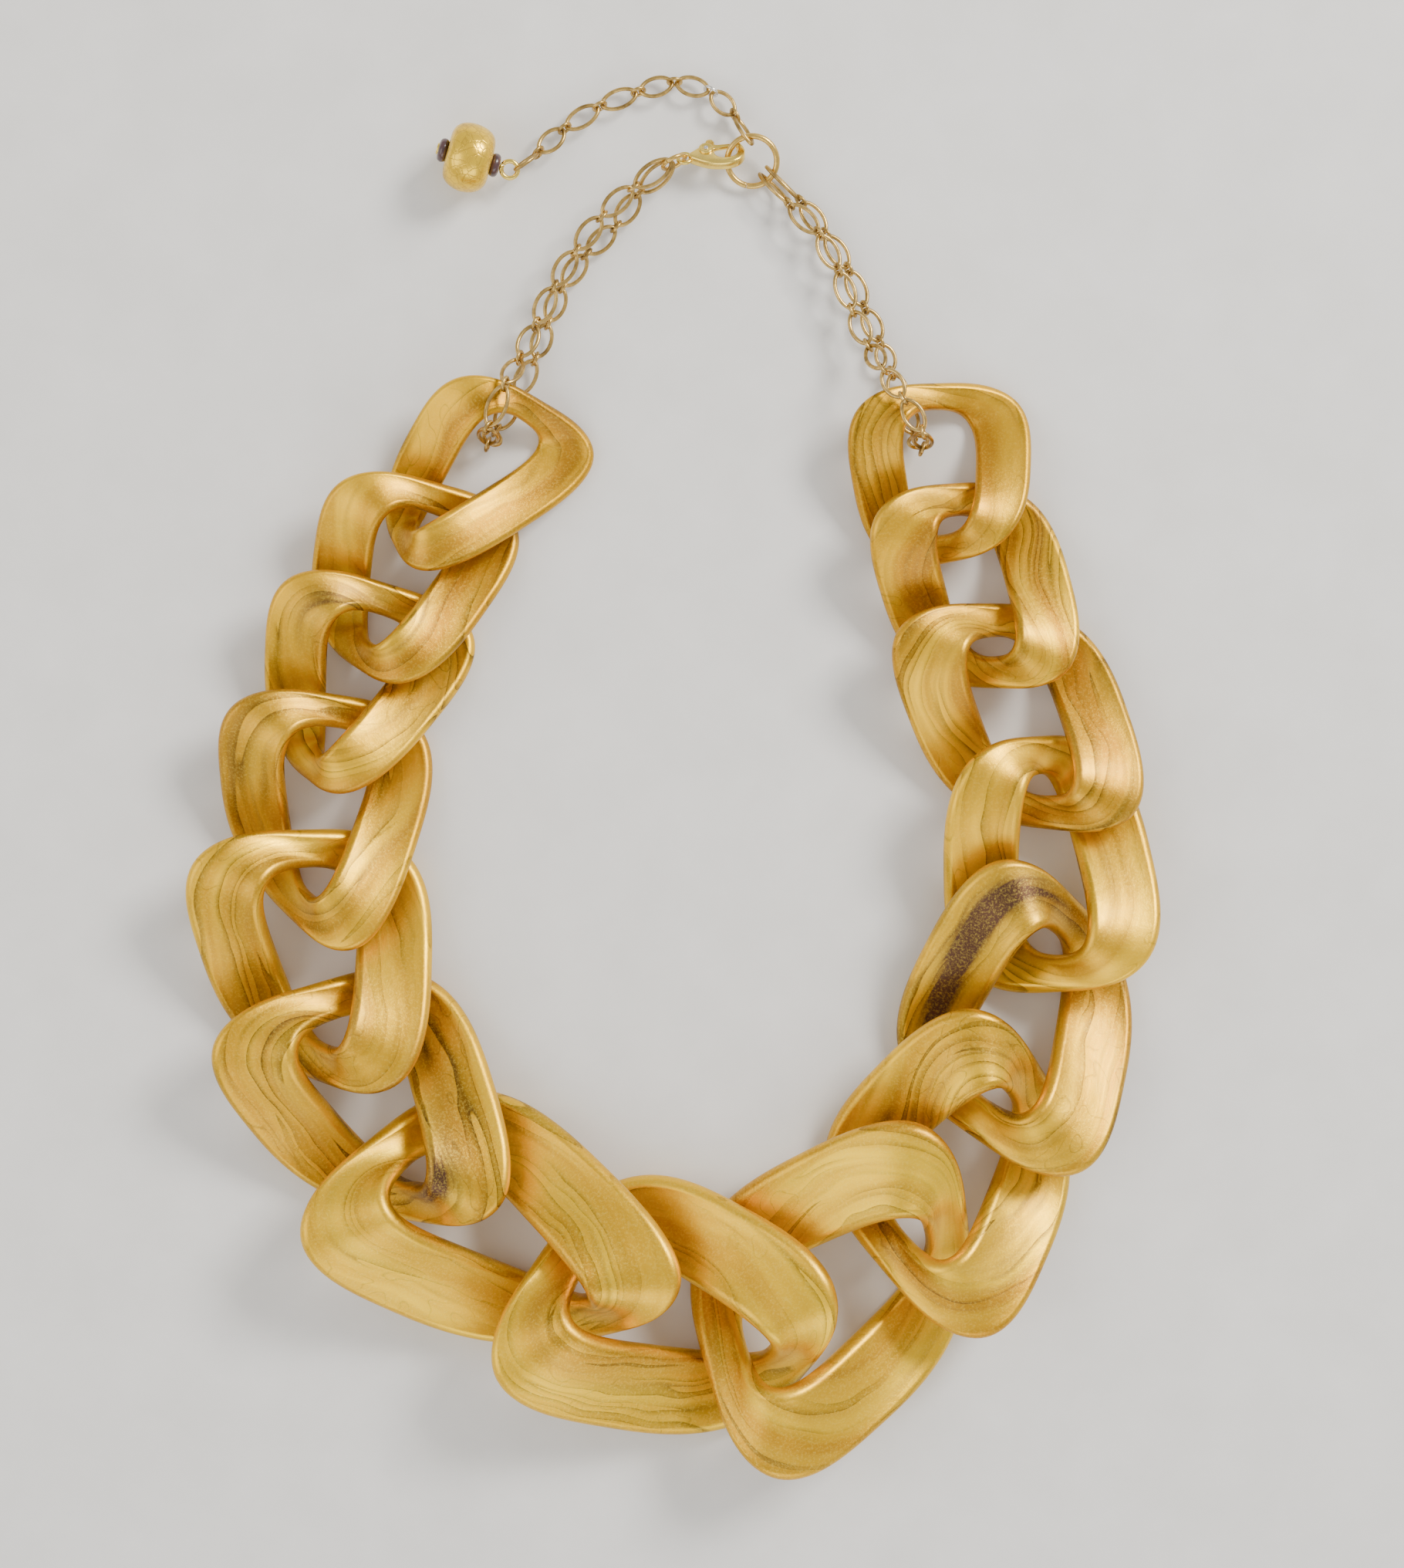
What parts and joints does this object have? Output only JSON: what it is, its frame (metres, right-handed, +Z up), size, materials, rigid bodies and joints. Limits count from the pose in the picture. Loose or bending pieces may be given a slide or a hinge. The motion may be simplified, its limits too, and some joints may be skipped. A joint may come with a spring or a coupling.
{
  "type": "chunky chain necklace",
  "caption": "Necklace of thick, graduated, interlocked clay curb links on a doubled fine chain, with a lobster clasp, a large ring and an extension chain ending in a bead.",
  "frame": {"origin": "middle of the necklace's footprint, on the table it lies on", "axes": "+Z up from the table, +Y from the largest clay link to the clasp, +X to the wearer's left, which is the right arm as it lies"},
  "size_m": [0.1762, 0.2546, 0.0198],
  "materials": {
    "clay": "glossy polymer clay with wood-grain swirls and gold mica",
    "dark_clay": "glossy dark purple-brown",
    "brass": "antique brass wire",
    "gold": "polished bright gold",
    "steel": "satin"
  },
  "bodies": {
    "clay_link_01": {"clay_link_01": "clay"},
    "clay_link_02": {"clay_link_02": "clay"},
    "clay_link_03": {"clay_link_03": "clay"},
    "clay_link_04": {"clay_link_04": "clay"},
    "clay_link_05": {"clay_link_05": "clay"},
    "clay_link_06": {"clay_link_06": "clay"},
    "clay_link_07": {"clay_link_07": "clay"},
    "clay_link_08": {"clay_link_08": "clay"},
    "clay_link_09": {"clay_link_09": "clay"},
    "clay_link_10": {"clay_link_10": "clay"},
    "clay_link_11": {"clay_link_11": "clay"},
    "clay_link_12": {"clay_link_12": "clay"},
    "clay_link_13": {"clay_link_13": "clay"},
    "clay_link_14": {"clay_link_14": "clay"},
    "clay_link_15": {"clay_link_15": "clay"},
    "left_chain_loop": {"left_chain_loop": "brass"},
    "left_front_strand": {"left_front_strand": "brass"},
    "left_back_strand": {"left_back_strand": "brass"},
    "left_front_strand_end": {"left_front_strand_end": "brass"},
    "left_back_strand_end": {"left_back_strand_end": "brass"},
    "right_chain_loop": {"right_chain_loop": "brass"},
    "right_front_strand": {"right_front_strand": "brass"},
    "right_back_strand": {"right_back_strand": "brass"},
    "right_front_strand_end": {"right_front_strand_end": "brass"},
    "right_back_strand_end": {"right_back_strand_end": "brass"},
    "extension_first": {"extension_first": "brass"},
    "extension_second": {"extension_second": "brass"},
    "extension_third": {"extension_third": "brass"},
    "extension_last": {"extension_last": "brass"},
    "large_ring": {"large_ring": "brass"},
    "jump_ring": {"jump_ring": "brass"},
    "headpin": {"headpin": "gold"},
    "bead": {"bead": "clay"},
    "seed_bead_inner": {"seed_bead_inner": "dark_clay"},
    "seed_bead_outer": {"seed_bead_outer": "dark_clay"},
    "clasp": {"clasp_body": "gold", "clasp_pin": "steel", "clasp_spring": "steel"},
    "clasp_lever": {"clasp_lever": "gold"}
  },
  "joints": [
    {"name": "fold_07_08", "type": "hinge", "parent": "clay_link_08", "child": "clay_link_07", "pos_m": [-0.01729, -0.09442, 0.00955], "axis": [0.9331, -0.3597, -0.0034], "range_deg": [-7, 1.5]},
    {"name": "fold_09_08", "type": "hinge", "parent": "clay_link_08", "child": "clay_link_09", "pos_m": [-0.01729, -0.09442, 0.00955], "axis": [0.9331, -0.3597, -0.0034], "range_deg": [-7, 1.5]},
    {"name": "fold_06_07", "type": "hinge", "parent": "clay_link_07", "child": "clay_link_06", "pos_m": [-0.04954, -0.07367, 0.00891], "axis": [0.9936, -0.1127, 0.0006], "range_deg": [-7, 8]},
    {"name": "fold_10_09", "type": "hinge", "parent": "clay_link_09", "child": "clay_link_10", "pos_m": [-0.04954, -0.07367, 0.00891], "axis": [0.9936, -0.1127, 0.0006], "range_deg": [-7, 8]},
    {"name": "fold_05_06", "type": "hinge", "parent": "clay_link_06", "child": "clay_link_05", "pos_m": [-0.06367, -0.04704, 0.0081], "axis": [0.9953, -0.0965, 0.0027], "range_deg": [-7, 11]},
    {"name": "fold_11_10", "type": "hinge", "parent": "clay_link_10", "child": "clay_link_11", "pos_m": [-0.06367, -0.04704, 0.0081], "axis": [0.9953, -0.0965, 0.0027], "range_deg": [-7, 11]},
    {"name": "fold_04_05", "type": "hinge", "parent": "clay_link_05", "child": "clay_link_04", "pos_m": [-0.06742, -0.01879, 0.00734], "axis": [0.9964, -0.0849, 0.0046], "range_deg": [-8, 7]},
    {"name": "fold_12_11", "type": "hinge", "parent": "clay_link_11", "child": "clay_link_12", "pos_m": [-0.06742, -0.01879, 0.00734], "axis": [0.9964, -0.0849, 0.0046], "range_deg": [-8, 7]},
    {"name": "fold_03_04", "type": "hinge", "parent": "clay_link_04", "child": "clay_link_03", "pos_m": [-0.06329, 0.00659, 0.00666], "axis": [0.9981, -0.062, 0.0051], "range_deg": [-8, 10]},
    {"name": "fold_13_12", "type": "hinge", "parent": "clay_link_12", "child": "clay_link_13", "pos_m": [-0.06329, 0.00659, 0.00666], "axis": [0.9981, -0.062, 0.0051], "range_deg": [-8, 10]},
    {"name": "fold_02_03", "type": "hinge", "parent": "clay_link_03", "child": "clay_link_02", "pos_m": [-0.05417, 0.02684, 0.00639], "axis": [0.9995, -0.0301, 0.0031], "range_deg": [-8, 7]},
    {"name": "fold_14_13", "type": "hinge", "parent": "clay_link_13", "child": "clay_link_14", "pos_m": [-0.05417, 0.02684, 0.00639], "axis": [0.9995, -0.0301, 0.0031], "range_deg": [-8, 7]},
    {"name": "fold_01_02", "type": "hinge", "parent": "clay_link_02", "child": "clay_link_01", "pos_m": [-0.04592, 0.04671, 0.00592], "axis": [0.9999, -0.0117, 0.0016], "range_deg": [-7, 11]},
    {"name": "fold_15_14", "type": "hinge", "parent": "clay_link_14", "child": "clay_link_15", "pos_m": [-0.04592, 0.04671, 0.00592], "axis": [0.9999, -0.0117, 0.0016], "range_deg": [-7, 11]},
    {"name": "right_loop_fold", "type": "hinge", "parent": "clay_link_15", "child": "right_chain_loop", "pos_m": [-0.03054, 0.06771, 0.0087], "axis": [1, 0, 0.0084], "range_deg": [-10, 5]},
    {"name": "left_loop_fold", "type": "hinge", "parent": "clay_link_01", "child": "left_chain_loop", "pos_m": [-0.03054, 0.06771, 0.0087], "axis": [1, 0, 0.0084], "range_deg": [-10, 5]},
    {"name": "right_front_strand_fold", "type": "hinge", "parent": "right_chain_loop", "child": "right_front_strand", "pos_m": [-0.02394, 0.08221, 0.0036], "axis": [0.999, 0.0451, 0], "range_deg": [-12, 12]},
    {"name": "right_back_strand_fold", "type": "hinge", "parent": "right_chain_loop", "child": "right_back_strand", "pos_m": [-0.02394, 0.08221, 0.0036], "axis": [0.999, 0.0451, 0], "range_deg": [-12, 12]},
    {"name": "left_front_strand_fold", "type": "hinge", "parent": "left_chain_loop", "child": "left_front_strand", "pos_m": [-0.02394, 0.08221, 0.0036], "axis": [0.999, 0.0451, 0], "range_deg": [-12, 12]},
    {"name": "left_back_strand_fold", "type": "hinge", "parent": "left_chain_loop", "child": "left_back_strand", "pos_m": [-0.02394, 0.08221, 0.0036], "axis": [0.999, 0.0451, 0], "range_deg": [-12, 12]},
    {"name": "right_front_end_fold", "type": "hinge", "parent": "right_front_strand", "child": "right_front_strand_end", "pos_m": [-0.01684, 0.09506, 0.0036], "axis": [0.9972, 0.075, 0], "range_deg": [-12, 12]},
    {"name": "right_back_end_fold", "type": "hinge", "parent": "right_back_strand", "child": "right_back_strand_end", "pos_m": [-0.01684, 0.09506, 0.0036], "axis": [0.9972, 0.075, 0], "range_deg": [-12, 12]},
    {"name": "left_front_end_fold", "type": "hinge", "parent": "left_front_strand", "child": "left_front_strand_end", "pos_m": [-0.01684, 0.09506, 0.0036], "axis": [0.9972, 0.075, 0], "range_deg": [-12, 12]},
    {"name": "left_back_end_fold", "type": "hinge", "parent": "left_back_strand", "child": "left_back_strand_end", "pos_m": [-0.01684, 0.09506, 0.0036], "axis": [0.9972, 0.075, 0], "range_deg": [-12, 12]},
    {"name": "large_ring_fold", "type": "hinge", "parent": "right_front_strand_end", "child": "large_ring", "pos_m": [-0.00094, 0.11071, 0.0049], "axis": [0.9843, -0.1069, -0.1406], "range_deg": [-6, 6]},
    {"name": "jump_ring_fold", "type": "hinge", "parent": "left_front_strand_end", "child": "jump_ring", "pos_m": [-0.00094, 0.11071, 0.0049], "axis": [0.9843, -0.1069, -0.1406], "range_deg": [-6, 6]},
    {"name": "clasp_roll", "type": "hinge", "parent": "jump_ring", "child": "clasp", "pos_m": [0.00199, 0.11186, 0.00415], "axis": [0.9986, 0.0523, 0], "range_deg": [-8, 8]},
    {"name": "lever_hinge", "type": "hinge", "parent": "clasp", "child": "clasp_lever", "pos_m": [0.00594, 0.11299, 0.00339], "axis": [-0.0333, 0.6352, 0.7716], "range_deg": [-9, 0], "stiffness_Nm_per_rad": 0.0002},
    {"name": "extension_swing_first", "type": "hinge", "parent": "large_ring", "child": "extension_first", "pos_m": [0.01386, 0.11571, 0.0048], "axis": [0, 0, 1], "range_deg": [-10, 4]},
    {"name": "extension_swing_second", "type": "hinge", "parent": "extension_first", "child": "extension_second", "pos_m": [0.00676, 0.12431, 0.0022], "axis": [0, 0, 1], "range_deg": [-10, 4]},
    {"name": "extension_swing_third", "type": "hinge", "parent": "extension_second", "child": "extension_third", "pos_m": [-0.00644, 0.12421, 0.0022], "axis": [0, 0, 1], "range_deg": [-12, 5]},
    {"name": "extension_swing_last", "type": "hinge", "parent": "extension_third", "child": "extension_last", "pos_m": [-0.01984, 0.11761, 0.0022], "axis": [0, 0, 1], "range_deg": [-12, 5]},
    {"name": "headpin_swing", "type": "hinge", "parent": "extension_last", "child": "headpin", "pos_m": [-0.02871, 0.10941, 0.0051], "axis": [0, 0, 1], "range_deg": [-12, 8]},
    {"name": "bead_spin", "type": "hinge", "parent": "headpin", "child": "bead", "pos_m": [-0.03694, 0.11161, 0.0063], "axis": [-0.9565, 0.2563, 0.1392], "continuous": true},
    {"name": "seed_bead_inner_spin", "type": "hinge", "parent": "headpin", "child": "seed_bead_inner", "pos_m": [-0.03694, 0.11161, 0.0063], "axis": [-0.9565, 0.2563, 0.1392], "continuous": true},
    {"name": "seed_bead_outer_spin", "type": "hinge", "parent": "headpin", "child": "seed_bead_outer", "pos_m": [-0.03694, 0.11161, 0.0063], "axis": [-0.9565, 0.2563, 0.1392], "continuous": true}
  ],
  "couplings": [
    {"joint": "fold_09_08", "follows": "fold_07_08", "ratio": 1},
    {"joint": "fold_10_09", "follows": "fold_06_07", "ratio": 1},
    {"joint": "fold_11_10", "follows": "fold_05_06", "ratio": 1},
    {"joint": "fold_12_11", "follows": "fold_04_05", "ratio": 1},
    {"joint": "fold_13_12", "follows": "fold_03_04", "ratio": 1},
    {"joint": "fold_14_13", "follows": "fold_02_03", "ratio": 1},
    {"joint": "fold_15_14", "follows": "fold_01_02", "ratio": 1},
    {"joint": "left_loop_fold", "follows": "right_loop_fold", "ratio": 1},
    {"joint": "right_back_strand_fold", "follows": "right_front_strand_fold", "ratio": 1},
    {"joint": "left_front_strand_fold", "follows": "right_front_strand_fold", "ratio": 1},
    {"joint": "left_back_strand_fold", "follows": "right_front_strand_fold", "ratio": 1},
    {"joint": "right_back_end_fold", "follows": "right_front_end_fold", "ratio": 1},
    {"joint": "left_front_end_fold", "follows": "right_front_end_fold", "ratio": 1},
    {"joint": "left_back_end_fold", "follows": "right_front_end_fold", "ratio": 1},
    {"joint": "jump_ring_fold", "follows": "large_ring_fold", "ratio": 1}
  ]
}
